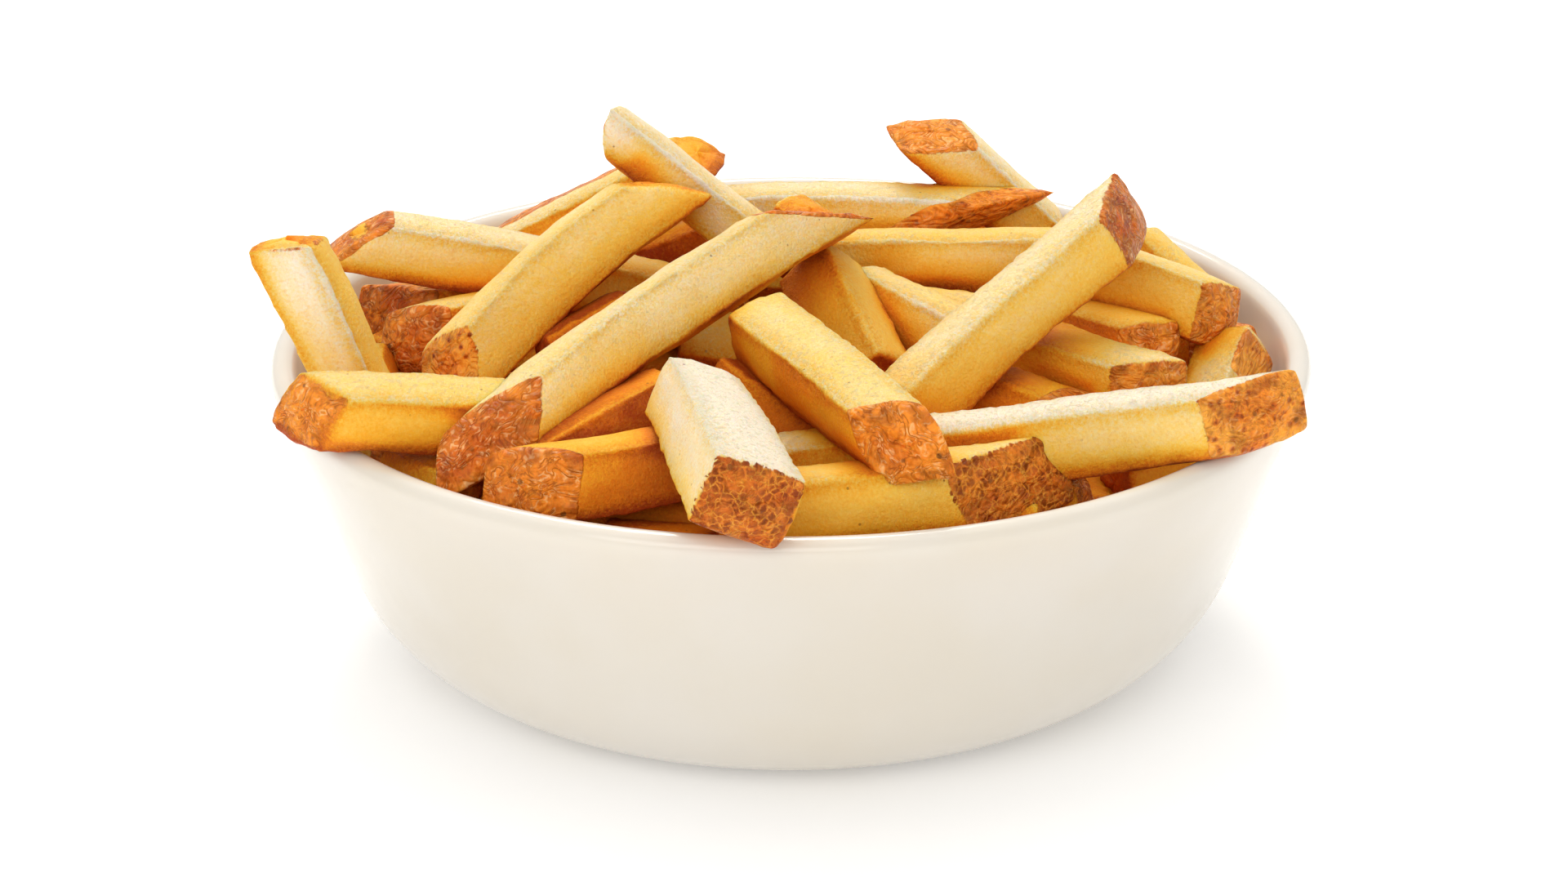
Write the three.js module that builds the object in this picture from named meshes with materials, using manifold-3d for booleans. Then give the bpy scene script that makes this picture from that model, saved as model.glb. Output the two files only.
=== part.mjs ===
// A bowl of thick-cut french fries: a white glazed bowl and the heap of fries in it.
// Millimetres, +Z up. The origin is the middle of the bowl's flat base.
import * as THREE from 'three';
import { mergeVertices } from 'three/addons/utils/BufferGeometryUtils.js';
import Module from 'manifold-3d';

// Bowl
const RIM_RADIUS = 80;
const BOWL_HEIGHT = 49;
const LIP_RADIUS = 2.1;
const WALL = 3.6;
const WALL_FLARE = 0.37; // run for each unit of rise
const BASE_FILLET = 26; // outside radius between the wall and the flat base
const LIP_STEP = 1.2; // how far the lip stands out past the top of the wall
const LIP_DROP = 4; // from the lip's middle down to the straight wall
const BOWL_SIDES = 64;

// Heap: a core in the bowl, which carries the fries
const CORE_GAP = 0.4;
const CORE_EDGE_HEIGHT = 36;
const CORE_CROWN = 6;
const CORE_SIDES = 40;
const FRY_STEPS = 3; // stretches along a fry, so that it can bend
const EDGE_CUT = 0.09; // bevel on a fry's long edges, as a share of its thickness

// One row for each fry: its name, the two ends of its middle line, the roll about that line in degrees,
// its size [width, height, taper], and the slopes of the knife cuts at the two ends, across and up. The
// taper is how much thicker the second end is than the first, as a share. The last value is its bend.
const FRIES = [
  ['long_front', [-43.3, -51.9, 52.9], [2.5, 2, 67.6], -30, [9.8, 8.8, 0.28], [1.5, 0.9], [-0.2, -1.7], 0.8],
  ['left_upper', [-51.4, -15, 48.5], [-20, 6, 71], -25, [9.7, 9.7, 0], [0.6, 0.6], [-0.1, -1], 1.2],
  ['left_rim', [-69.3, -44, 54.1], [-41.5, -42, 52], 7, [8.6, 8.6, 0], [0.85, 0.45], [0, 0], 0.4],
  ['left_leaning', [-73.8, -24, 72.8], [-60.9, -27.3, 39], -6, [8.4, 8.6, 0], [-0.1, 0.25], [0, 0], 0.8],
  ['left_back', [-68.3, 15, 60.2], [-15, 12, 50], -1, [8.4, 8.4, 0], [0.15, 1.05], [0, 0], 0.5],
  ['left_skinned', [-64.4, 20.5, 45.4], [-36, 19, 47.4], -10, [8.5, 8.5, 0], [1.2, 0.2], [0, 0], 0],
  ['left_short', [-58.5, 2, 48], [-42, 7, 50], -12, [8.5, 8.5, 0], [0.9, 0.3], [0, 0], 0],
  ['back_rising', [-54, 36, 46.5], [-15.6, 32, 67.8], 2, [8.5, 6.4, 0], [0, 0], [-0.2, -0.9], 0],
  ['top_steep', [-26.9, 14.5, 77.8], [-4.4, 13, 58.9], -7, [9, 6.2, 0.1], [-0.4, -0.6], [0, 0], 0],
  ['front_overhang', [-14.2, -46, 57.3], [-6.1, -84, 56.7], -24, [12, 9.8, 0.1], [0, 0], [0, 0], 0.5],
  ['centre_diagonal', [-4.5, -21, 57.8], [15.8, -66, 57.5], 14, [8.8, 9, 0], [0, 0], [-0.7, -0.69], 0.5],
  ['right_diagonal', [16, -36, 49.9], [50.7, -5.2, 69.6], -17, [8.9, 8.9, 0], [0, 0], [-1.28, -0.05], 0.5],
  ['right_long', [-1.5, -48.1, 46.2], [66.5, -48.4, 54.9], -1, [7, 9.2, 0], [0, 0], [-1.84, -0.1], 0],
  ['front_rim', [-9, -68.5, 47.5], [31, -58.3, 48.5], -9, [9.2, 9.2, 0], [0, 0], [-1.9, -0.4], 0.3],
  ['front_left', [-37, -61, 49.5], [-15, -52, 49.2], -11, [8.8, 8.8, 0], [1.1, 0.2], [0, 0], 0],
  ['front_left_under', [-58.5, -34.5, 42.5], [-46, -49, 42], -8, [8.5, 8.5, 0], [0, 0], [0, 0], 0],
  ['under_long', [-36.5, -50, 47.5], [-18, -36, 53], -14, [8.8, 8.8, 0], [0, 0], [0, 0], 0],
  ['between_diagonals', [-36, -11, 49], [-21, -3, 55.5], -20, [8.5, 8.5, 0], [0, 0], [0, -1], 0],
  ['behind_diagonals', [-33, 25, 48.5], [-11.5, 24, 56.5], -1, [8.3, 8.3, 0], [0, 0], [0, 0], 0],
  ['centre_upright', [4.5, 7, 57], [12.5, -12, 46], -38, [9.3, 9.3, 0], [0, 0], [0, 0], 0],
  ['centre_right', [10.8, 9.9, 52.6], [31.5, -8, 47], -13, [8.6, 8.6, 0], [0, 0], [0, 0], 0],
  ['back_low', [3, 24, 52.6], [49, 23, 53], -5, [8.2, 8.2, 0], [0, 0], [0, 0], 0.5],
  ['back_long', [-11.5, 37, 55.5], [28.5, 35, 55], -1, [8.4, 8.4, 0], [0, 0], [-1.4, 2], 1.2],
  ['back_small_tip', [-0.7, 21, 55], [2.8, 16, 64], 20, [7.2, 7.2, 0], [0, 0], [0.3, -0.3], 0],
  ['back_tip', [22.8, 41, 68], [41.2, 46, 49.5], 9, [8.9, 8.3, 0], [0.2, 1], [0, 0], 0],
  ['right_upper', [41, 11, 58.5], [65.4, -1.2, 52.9], -16, [9, 9, 0], [0, 0], [-0.4, -0.1], 0],
  ['right_far_tip', [55, 27, 53.3], [65.3, 20, 45.5], -12, [7.5, 7.5, 0], [0, 0], [0, 0], 0],
  ['right_middle', [36, -10, 49.5], [53, -24, 49.2], 1, [9, 9, 0], [0, 0], [-0.8, 0], 0],
  ['right_inner', [42, 4, 49.5], [54.5, -6, 49], -1, [8, 8, 0], [0, 0], [-0.6, 0], 0],
  ['right_under', [22, -20, 49.5], [41, -27, 44.8], -6, [8.6, 8.6, 0], [0, 0], [-0.5, 0], 0],
  ['right_upright', [63.5, -12, 40], [69, 0, 47], -21, [8.5, 8.5, 0], [0, 0], [0, 0], 0],
  ['right_wall', [58, 17, 41], [69, 8, 42.5], -3, [7.5, 7.5, 0], [0, 0], [-0.4, 0], 0],
  ['front_right_low', [27, -44, 38.5], [42, -46, 40.5], -3, [8, 8, 0], [0, 0], [0, 0], 0],
  ['front_right_wall', [48, -38, 40.5], [58, -33, 42], -8, [8, 8, 0], [0, 0], [0, 0], 0],
  ['front_left_low', [-26.5, -61, 39], [-11.5, -63, 39], -4, [8, 8, 0], [0, 0], [0, 0], 0],
  ['centre_shaded', [-10, -24, 50], [4.5, -38, 44.5], -23, [8.8, 8.8, 0], [0, 0], [0, 0], 0],
  ['centre_back', [16, 14.5, 47.5], [32, 9, 47], -4, [8, 8, 0], [0, 0], [0, 0], 0],
  // the layer under them
  ['under_left_a', [-62, -24, 38], [-36, -36, 44], 10, [9, 9, 0], [0, 0], [0, 0], 0],
  ['under_left_b', [-62, -8, 38], [-30, -9, 43], -20, [8.6, 8.6, 0], [0, 0], [0, 0], 0],
  ['under_left_c', [-62, 6, 38.5], [-28, 4, 43], 14, [9, 9, 0], [0, 0], [0, 0], 0],
  ['under_centre_a', [-30, -24, 40], [-2, -14, 43], 25, [9, 9, 0], [0, 0], [0, 0], 0],
  ['under_front', [-44, -46, 38], [4, -51, 39.6], -12, [9, 9, 0], [0, 0], [0, 0], 0],
  ['under_rim', [-6, -60, 38.8], [34, -54, 39.8], 8, [9, 9, 0], [0, 0], [0, 0], 0],
  ['under_right_a', [8, -34, 38], [40, -20, 40], 15, [9.2, 9.2, 0], [0, 0], [0, 0], 0],
  ['under_right_b', [30, 7, 39], [52, 2, 38], 5, [8.8, 8.8, 0], [0, 0], [0, 0], 0],
  ['under_centre_b', [-16, 6, 45], [20, -2, 41], 30, [9.2, 9.2, 0], [0, 0], [0, 0], 0],
  ['under_back_left', [-50, 30, 39], [-8, 18, 44], -15, [9, 9, 0], [0, 0], [0, 0], 0],
  ['under_back', [-24, 44, 43], [14, 28, 45], 20, [8.8, 8.8, 0], [0, 0], [0, 0], 0],
  ['under_right_c', [24, 32, 44], [50, 14, 44], 12, [8.8, 8.8, 0], [0, 0], [0, 0], 0],
  ['under_right_d', [36, 16, 36.5], [52, 25, 36], -16, [9, 9, 0], [0, 0], [0, 0], 0],
  ['under_right_e', [58, -5, 41.5], [45, -18, 42], 22, [8.6, 8.6, 0], [0, 0], [0, 0], 0],
  ['under_left_d', [-66, 3, 42], [-65.5, -14, 43], 18, [8.2, 8.2, 0], [0, 0], [0, 0], 0],
  ['under_back_a', [22, 37, 41.5], [0, 44, 40.5], -24, [9, 9, 0], [0, 0], [0, 0], 0],
  ['under_back_b', [-36, 36, 41], [-8, 30, 42], 20, [8.8, 8.8, 0], [0, 0], [0, 0], 0],
  // the far side
  ['far_left', [-51, 41, 42], [-18, 60, 41], 12, [9, 9, 0], [0, 0], [0, 0], 0.6],
  ['far_middle', [-14, 52, 47], [27, 58, 45], -18, [9.2, 9.2, 0], [0, 0], [0, 0], 0],
  ['far_right', [18, 49, 42.5], [48, 36, 39.5], 8, [8.8, 8.8, 0], [0, 0], [0, 0], 0.5],
  ['far_right_wall', [56, 34, 36.5], [63, 17, 36.5], -35, [8.6, 8.6, 0], [0, 0], [0, 0], 0],
  ['far_left_wall', [-64, 14, 38], [-52, 36, 37], 20, [8.6, 8.6, 0], [0, 0], [0, 0], 0],
  ['far_low', [-30, 54, 33.5], [2, 62, 33.5], -8, [9, 9, 0], [0, 0], [0, 0], 0],
  ['far_wall_a', [46, 46, 43], [32, 57, 43.5], 15, [8.8, 8.8, 0], [0, 0], [0, 0], 0],
  ['far_wall_c', [59, 32, 44.5], [46.5, 43.5, 48], -6, [8.2, 8.2, 0], [0, 0], [0, 0], 0],
  ['far_wall_b', [-12, 63, 44.5], [14, 64, 44], -20, [8.6, 8.6, 0], [0, 0], [0, 0], 0],
  ['far_right_low', [10, 62, 35.5], [40, 48, 35], 30, [9, 9, 0], [0, 0], [0, 0], 0],
  ['far_left_tip', [-12, 48, 51.8], [-33, 52, 47.2], 16, [8.4, 8.4, 0], [0, 0], [0, 0], 0],
];

// ---- outlines ------------------------------------------------------------------------------

const wallTop = { x: RIM_RADIUS - LIP_STEP, y: BOWL_HEIGHT - LIP_RADIUS - LIP_DROP };
const flareLength = Math.hypot(1, WALL_FLARE);
const baseRadius = wallTop.x - WALL_FLARE * (wallTop.y - BASE_FILLET) - BASE_FILLET * flareLength;

// Points of a round stretch from one angle to another, both in radians.
function arc(cx, cy, radius, from, to, steps) {
  const points = [];
  for (let i = 0; i <= steps; i += 1) {
    const angle = from + ((to - from) * i) / steps;
    points.push(new THREE.Vector2(cx + radius * Math.cos(angle), cy + radius * Math.sin(angle)));
  }
  return points;
}

// The wall from the middle of the base up to the straight flare's top, moved in by the given amount.
function wallOutline(inset, steps) {
  const floorPoint = new THREE.Vector2(0, inset);
  const wallAngle = -Math.atan(WALL_FLARE);
  const fillet = arc(baseRadius, BASE_FILLET, BASE_FILLET - inset, -Math.PI / 2, wallAngle, steps);
  const topPoint = new THREE.Vector2(wallTop.x - inset * flareLength, wallTop.y);
  return [floorPoint, ...fillet, topPoint];
}

function bowlOutline() {
  const lipX = RIM_RADIUS - LIP_RADIUS;
  const lipY = BOWL_HEIGHT - LIP_RADIUS;
  const lip = arc(lipX, lipY, LIP_RADIUS, 0, Math.PI, 6);
  return [...wallOutline(0, 6), ...lip, ...wallOutline(WALL, 5).reverse()];
}

function coreOutline() {
  const inset = WALL + CORE_GAP;
  const wall = wallOutline(inset, 4).filter((point) => point.y < CORE_EDGE_HEIGHT);
  const last = wall[wall.length - 1];
  const edgeX = last.x + WALL_FLARE * (CORE_EDGE_HEIGHT - last.y) - CORE_GAP;
  const crown = [];
  const crownSteps = 4;
  for (let i = crownSteps; i >= 0; i -= 1) {
    const share = i / crownSteps;
    crown.push(new THREE.Vector2(edgeX * share, CORE_EDGE_HEIGHT + CORE_CROWN * (1 - share * share)));
  }
  return [...wall, ...crown];
}

// A lathe turns about Y, so the result is stood up along Z.
function turned(outline, sides) {
  return new THREE.LatheGeometry(outline, sides).rotateX(Math.PI / 2);
}

// ---- fries ---------------------------------------------------------------------------------

// A square section with bevelled edges, as eight corners in shares of the half thickness.
function section() {
  const flat = 1 - 2 * EDGE_CUT;
  return [[-flat, -1], [flat, -1], [1, -flat], [1, flat], [flat, 1], [-flat, 1], [-1, flat], [-1, -flat]];
}

function fryGeometry([, from, to, roll, [width, height, taper], startCut, endCut, bend]) {
  const start = new THREE.Vector3(...from);
  const along = new THREE.Vector3(...to).sub(start);
  const length = along.length();
  along.normalize();
  const level = new THREE.Vector3().crossVectors(along, new THREE.Vector3(0, 0, 1)).normalize();
  const raised = new THREE.Vector3().crossVectors(level, along);
  const angle = THREE.MathUtils.degToRad(roll);
  const across = level.clone().multiplyScalar(Math.cos(angle)).addScaledVector(raised, -Math.sin(angle));
  const up = raised.clone().multiplyScalar(Math.cos(angle)).addScaledVector(level, Math.sin(angle));

  const corners = section();
  const positions = [];
  for (let step = 0; step <= FRY_STEPS; step += 1) {
    const share = step / FRY_STEPS;
    const lift = bend * 4 * share * (1 - share);
    const swell = 1 + taper * (share - 0.5);
    for (const [a, b] of corners) {
      const side = (a * width * swell) / 2;
      const rise = (b * height * swell) / 2;
      const first = startCut[0] * side + startCut[1] * rise;
      const last = length + endCut[0] * side + endCut[1] * rise;
      const point = start.clone().addScaledVector(along, first + (last - first) * share);
      point.addScaledVector(across, side).addScaledVector(up, rise + lift);
      positions.push(point.x, point.y, point.z);
    }
  }

  const count = corners.length;
  const faces = [];
  for (let step = 0; step < FRY_STEPS; step += 1) {
    for (let i = 0; i < count; i += 1) {
      const a = step * count + i;
      const b = step * count + ((i + 1) % count);
      faces.push(a, a + count, b + count, a, b + count, b);
    }
  }
  const lastRing = FRY_STEPS * count;
  for (let i = 1; i < count - 1; i += 1) {
    faces.push(0, i, i + 1);
    faces.push(lastRing, lastRing + i + 1, lastRing + i);
  }
  const geometry = new THREE.BufferGeometry();
  geometry.setAttribute('position', new THREE.Float32BufferAttribute(positions, 3));
  geometry.setIndex(faces);
  return geometry;
}

// ---- joining -------------------------------------------------------------------------------

const wasm = await Module();
wasm.setup();

function toSolid(geometry) {
  const bare = geometry.clone();
  bare.deleteAttribute('normal');
  bare.deleteAttribute('uv');
  const merged = mergeVertices(bare, 1e-4);
  const mesh = new wasm.Mesh({
    numProp: 3,
    vertProperties: new Float32Array(merged.attributes.position.array),
    triVerts: new Uint32Array(merged.index.array),
  });
  return new wasm.Manifold(mesh);
}

function toGeometry(solid) {
  const mesh = solid.getMesh();
  const geometry = new THREE.BufferGeometry();
  geometry.setAttribute('position', new THREE.BufferAttribute(mesh.vertProperties, 3));
  geometry.setIndex(new THREE.BufferAttribute(mesh.triVerts, 1));
  return geometry;
}

// Joins the fries to the core. Only the largest shell stays, so a sealed hollow is filled and a scrap goes.
function heapGeometry() {
  let heap = toSolid(turned(coreOutline(), CORE_SIDES));
  for (const row of FRIES) {
    heap = heap.add(toSolid(fryGeometry(row)));
  }
  const shells = heap.decompose();
  shells.sort((a, b) => b.volume() - a.volume());
  return toGeometry(shells[0]);
}

// ---- the object ----------------------------------------------------------------------------

const bowlMaterial = new THREE.MeshStandardMaterial({ color: 0xf1ece2, roughness: 0.22, metalness: 0 });
const friesMaterial = new THREE.MeshStandardMaterial({ color: 0xe3ab54, roughness: 0.6, metalness: 0 });

const bowl = new THREE.Mesh(turned(bowlOutline(), BOWL_SIDES), bowlMaterial);
bowl.name = 'bowl';
const fries = new THREE.Mesh(heapGeometry(), friesMaterial);
fries.name = 'fries';

const object = new THREE.Group();
object.add(bowl, fries);

export default object;
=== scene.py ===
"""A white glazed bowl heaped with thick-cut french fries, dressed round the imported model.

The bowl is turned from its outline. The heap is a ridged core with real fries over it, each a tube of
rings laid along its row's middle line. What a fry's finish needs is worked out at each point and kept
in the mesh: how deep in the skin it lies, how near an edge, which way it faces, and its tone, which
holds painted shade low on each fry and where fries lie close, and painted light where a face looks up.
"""
import math
from typing import NamedTuple

import bpy
import numpy as np
from mathutils import Matrix, Vector


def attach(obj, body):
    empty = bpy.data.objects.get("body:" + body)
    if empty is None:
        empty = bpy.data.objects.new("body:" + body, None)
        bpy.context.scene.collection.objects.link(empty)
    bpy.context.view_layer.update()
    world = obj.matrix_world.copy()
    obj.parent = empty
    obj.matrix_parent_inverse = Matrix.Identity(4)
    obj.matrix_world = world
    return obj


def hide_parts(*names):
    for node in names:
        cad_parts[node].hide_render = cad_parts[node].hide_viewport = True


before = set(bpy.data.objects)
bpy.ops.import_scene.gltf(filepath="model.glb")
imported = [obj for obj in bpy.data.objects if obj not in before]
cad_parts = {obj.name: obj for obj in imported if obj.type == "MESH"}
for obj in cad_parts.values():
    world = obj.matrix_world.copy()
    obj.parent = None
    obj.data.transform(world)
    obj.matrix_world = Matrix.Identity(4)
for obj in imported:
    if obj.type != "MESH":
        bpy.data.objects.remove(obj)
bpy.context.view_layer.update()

MM = 0.001  # the script works in millimetres, Blender in metres

# ---- camera ----

CAMERA_AIM = (-1.1, 0, 31.7)
CAMERA_DISTANCE = 651
CAMERA_ELEVATION = 22.0  # degrees
CAMERA_ROLL = -0.25  # degrees
CAMERA_LENS = 96
CAMERA_SENSOR = 36

# ---- bowl: the same driving sizes as the CAD ----

RIM_RADIUS = 80
BOWL_HEIGHT = 49
LIP_RADIUS = 2.1
WALL = 3.6
WALL_FLARE = 0.37
BASE_FILLET = 26
LIP_STEP = 1.2  # how far the lip stands out from the top of the wall
LIP_DROP = 4  # how far below the lip the straight wall ends

BOWL_SIDES = 288
BOWL_SPACING = 0.45
FILLET_STEPS = 40
LIP_STEPS = 24
OUTLINE_EASING = 4

# ---- core ----

CORE_INSET = 4.0
CORE_RADIUS = RIM_RADIUS - LIP_STEP - CORE_INSET
CORE_EDGE_HEIGHT = 36
CORE_CROWN = 6
CORE_SINK = 3.0  # how far the core between its ridges lies below the CAD's plain crown
CORE_SIDES = 260
CORE_RINGS = 110
CORE_FILLET_STEPS = 12
CORE_MIDDLE = 0.01  # the innermost ring's share of the radius

CORE_RIDGES = 90
RIDGE_SPREAD = 0.9  # how far out the ridges lie, as a share of the core's radius
RIDGE_WIDTHS = (3.8, 4.8)  # half the width of a ridge
RIDGE_LENGTHS = (14, 26)  # half the length
RIDGE_RISES = (1.5, 4.0)
RIDGE_TILT = 0.04
RIDGE_SIDE = 0.9  # how far its sides take to rise

CORE_RELIEF = ((0.25, 3.5, 0), (0.12, 1.8, 5))
CORE_SKIN_PATCH = ((3, 9, 3),)
CORE_SKIN_LESS = 1.2
# The core's deep tone is painted shade: the core shows only in the gaps under the fries.
CORE_LOOK = dict(edge=0.0, facing=0.0, tone=1.2, cells=0.3, char=0.5, freckle=0.0)
CORE_GRAIN_SHIFT = 80  # keeps the core's grain clear of the noise's origin

# ---- fries ----


class Row(NamedTuple):
    """Where a fry lies, as in the CAD."""

    name: str
    start: tuple  # the two ends of its middle line
    end: tuple
    roll: float  # about that line, in degrees
    size: tuple  # width and height
    start_cut: tuple = (0, 0)  # the slopes of the knife's cut, across and up
    end_cut: tuple = (0, 0)
    bend: float = 0
    taper: float = 0


TOP_FRIES = (
    (
        "long_front", (-43.3, -51.9, 52.9), (2.5, 2, 67.6), -30, (9.8, 8.8),
        (1.5, 0.9), (-0.2, -1.7), 0.8, 0.28,
    ),
    ("left_upper", (-51.4, -15, 48.5), (-20, 6, 71), -25, (9.7, 9.7), (0.6, 0.6), (-0.1, -1), 1.2),
    ("left_rim", (-69.3, -44, 54.1), (-41.5, -42, 52), 7, (8.6, 8.6), (0.85, 0.45), (0, 0), 0.4),
    ("left_leaning", (-73.8, -24, 72.8), (-60.9, -27.3, 39), -6, (8.4, 8.6), (-0.1, 0.25), (0, 0), 0.8),
    ("left_back", (-68.3, 15, 60.2), (-15, 12, 50), -1, (8.4, 8.4), (0.15, 1.05), (0, 0), 0.5),
    ("left_skinned", (-64.4, 20.5, 45.4), (-36, 19, 47.4), -10, (8.5, 8.5), (1.2, 0.2)),
    ("left_short", (-58.5, 2, 48), (-42, 7, 50), -12, (8.5, 8.5), (0.9, 0.3)),
    ("back_rising", (-54, 36, 46.5), (-15.6, 32, 67.8), 2, (8.5, 6.4), (0, 0), (-0.2, -0.9)),
    ("top_steep", (-26.9, 14.5, 77.8), (-4.4, 13, 58.9), -7, (9, 6.2), (-0.4, -0.6), (0, 0), 0, 0.1),
    ("front_overhang", (-14.2, -46, 57.3), (-6.1, -84, 56.7), -24, (12, 9.8), (0, 0), (0, 0), 0.5, 0.1),
    ("centre_diagonal", (-4.5, -21, 57.8), (15.8, -66, 57.5), 14, (8.8, 9), (0, 0), (-0.7, -0.69), 0.5),
    ("right_diagonal", (16, -36, 49.9), (50.7, -5.2, 69.6), -17, (8.9, 8.9), (0, 0), (-1.28, -0.05), 0.5),
    ("right_long", (-1.5, -48.1, 46.2), (66.5, -48.4, 54.9), -1, (7, 9.2), (0, 0), (-1.84, -0.1)),
)
BETWEEN_FRIES = (
    ("front_rim", (-9, -68.5, 47.5), (31, -58.3, 48.5), -9, (9.2, 9.2), (0, 0), (-1.9, -0.4), 0.3),
    ("front_left", (-37, -61, 49.5), (-15, -52, 49.2), -11, (8.8, 8.8), (1.1, 0.2)),
    ("front_left_under", (-58.5, -34.5, 42.5), (-46, -49, 42), -8, (8.5, 8.5)),
    ("under_long", (-36.5, -50, 47.5), (-18, -36, 53), -14, (8.8, 8.8)),
    ("between_diagonals", (-36, -11, 49), (-21, -3, 55.5), -20, (8.5, 8.5), (0, 0), (0, -1)),
    ("behind_diagonals", (-33, 25, 48.5), (-11.5, 24, 56.5), -1, (8.3, 8.3)),
    ("centre_upright", (4.5, 7, 57), (12.5, -12, 46), -38, (9.3, 9.3)),
    ("centre_right", (10.8, 9.9, 52.6), (31.5, -8, 47), -13, (8.6, 8.6)),
    ("back_low", (3, 24, 52.6), (49, 23, 53), -5, (8.2, 8.2), (0, 0), (0, 0), 0.5),
    ("back_long", (-11.5, 37, 55.5), (28.5, 35, 55), -1, (8.4, 8.4), (0, 0), (-1.4, 2), 1.2),
    ("back_small_tip", (-0.7, 21, 55), (2.8, 16, 64), 20, (7.2, 7.2), (0, 0), (0.3, -0.3)),
    ("back_tip", (22.8, 41, 68), (41.2, 46, 49.5), 9, (8.9, 8.3), (0.2, 1)),
)
EDGE_FRIES = (
    ("right_upper", (41, 11, 58.5), (65.4, -1.2, 52.9), -16, (9, 9), (0, 0), (-0.4, -0.1)),
    ("right_far_tip", (55, 27, 53.3), (65.3, 20, 45.5), -12, (7.5, 7.5)),
    ("right_middle", (36, -10, 49.5), (53, -24, 49.2), 1, (9, 9), (0, 0), (-0.8, 0)),
    ("right_inner", (42, 4, 49.5), (54.5, -6, 49), -1, (8, 8), (0, 0), (-0.6, 0)),
    ("right_under", (22, -20, 49.5), (41, -27, 44.8), -6, (8.6, 8.6), (0, 0), (-0.5, 0)),
    ("right_upright", (63.5, -12, 40), (69, 0, 47), -21, (8.5, 8.5)),
    ("right_wall", (58, 17, 41), (69, 8, 42.5), -3, (7.5, 7.5), (0, 0), (-0.4, 0)),
    ("front_right_low", (27, -44, 38.5), (42, -46, 40.5), -3, (8, 8)),
    ("front_right_wall", (48, -38, 40.5), (58, -33, 42), -8, (8, 8)),
    ("front_left_low", (-26.5, -61, 39), (-11.5, -63, 39), -4, (8, 8)),
    ("centre_shaded", (-10, -24, 50), (4.5, -38, 44.5), -23, (8.8, 8.8)),
    ("centre_back", (16, 14.5, 47.5), (32, 9, 47), -4, (8, 8)),
)
UNDER_FRIES = (
    ("under_left_a", (-62, -24, 38), (-36, -36, 44), 10, (9, 9)),
    ("under_left_b", (-62, -8, 38), (-30, -9, 43), -20, (8.6, 8.6)),
    ("under_left_c", (-62, 6, 38.5), (-28, 4, 43), 14, (9, 9)),
    ("under_centre_a", (-30, -24, 40), (-2, -14, 43), 25, (9, 9)),
    ("under_front", (-44, -46, 38), (4, -51, 39.6), -12, (9, 9)),
    ("under_rim", (-6, -60, 38.8), (34, -54, 39.8), 8, (9, 9)),
    ("under_right_a", (8, -34, 38), (40, -20, 40), 15, (9.2, 9.2)),
    ("under_right_b", (30, 7, 39), (52, 2, 38), 5, (8.8, 8.8)),
    ("under_centre_b", (-16, 6, 45), (20, -2, 41), 30, (9.2, 9.2)),
    ("under_back_left", (-50, 30, 39), (-8, 18, 44), -15, (9, 9)),
    ("under_back", (-24, 44, 43), (14, 28, 45), 20, (8.8, 8.8)),
    ("under_right_c", (24, 32, 44), (50, 14, 44), 12, (8.8, 8.8)),
    ("under_right_d", (36, 16, 36.5), (52, 25, 36), -16, (9, 9)),
    ("under_right_e", (58, -5, 41.5), (45, -18, 42), 22, (8.6, 8.6)),
    ("under_left_d", (-66, 3, 42), (-65.5, -14, 43), 18, (8.2, 8.2)),
    ("under_back_a", (22, 37, 41.5), (0, 44, 40.5), -24, (9, 9)),
    ("under_back_b", (-36, 36, 41), (-8, 30, 42), 20, (8.8, 8.8)),
)
FAR_FRIES = (
    ("far_left", (-51, 41, 42), (-18, 60, 41), 12, (9, 9), (0, 0), (0, 0), 0.6),
    ("far_middle", (-14, 52, 47), (27, 58, 45), -18, (9.2, 9.2)),
    ("far_right", (18, 49, 42.5), (48, 36, 39.5), 8, (8.8, 8.8), (0, 0), (0, 0), 0.5),
    ("far_right_wall", (56, 34, 36.5), (63, 17, 36.5), -35, (8.6, 8.6)),
    ("far_left_wall", (-64, 14, 38), (-52, 36, 37), 20, (8.6, 8.6)),
    ("far_low", (-30, 54, 33.5), (2, 62, 33.5), -8, (9, 9)),
    ("far_wall_a", (46, 46, 43), (32, 57, 43.5), 15, (8.8, 8.8)),
    ("far_wall_c", (59, 32, 44.5), (46.5, 43.5, 48), -6, (8.2, 8.2)),
    ("far_wall_b", (-12, 63, 44.5), (14, 64, 44), -20, (8.6, 8.6)),
    ("far_right_low", (10, 62, 35.5), (40, 48, 35), 30, (9, 9)),
    ("far_left_tip", (-12, 48, 51.8), (-33, 52, 47.2), 16, (8.4, 8.4)),
)
PIECE_ROWS = {
    "fries_top": TOP_FRIES,
    "fries_between": BETWEEN_FRIES,
    "fries_edge": EDGE_FRIES,
    "fries_under": UNDER_FRIES,
    "fries_far": FAR_FRIES,
}
PIECES = {piece: [Row(*row) for row in rows] for piece, rows in PIECE_ROWS.items()}
ALL_FRIES = sum(PIECES.values(), [])
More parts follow.
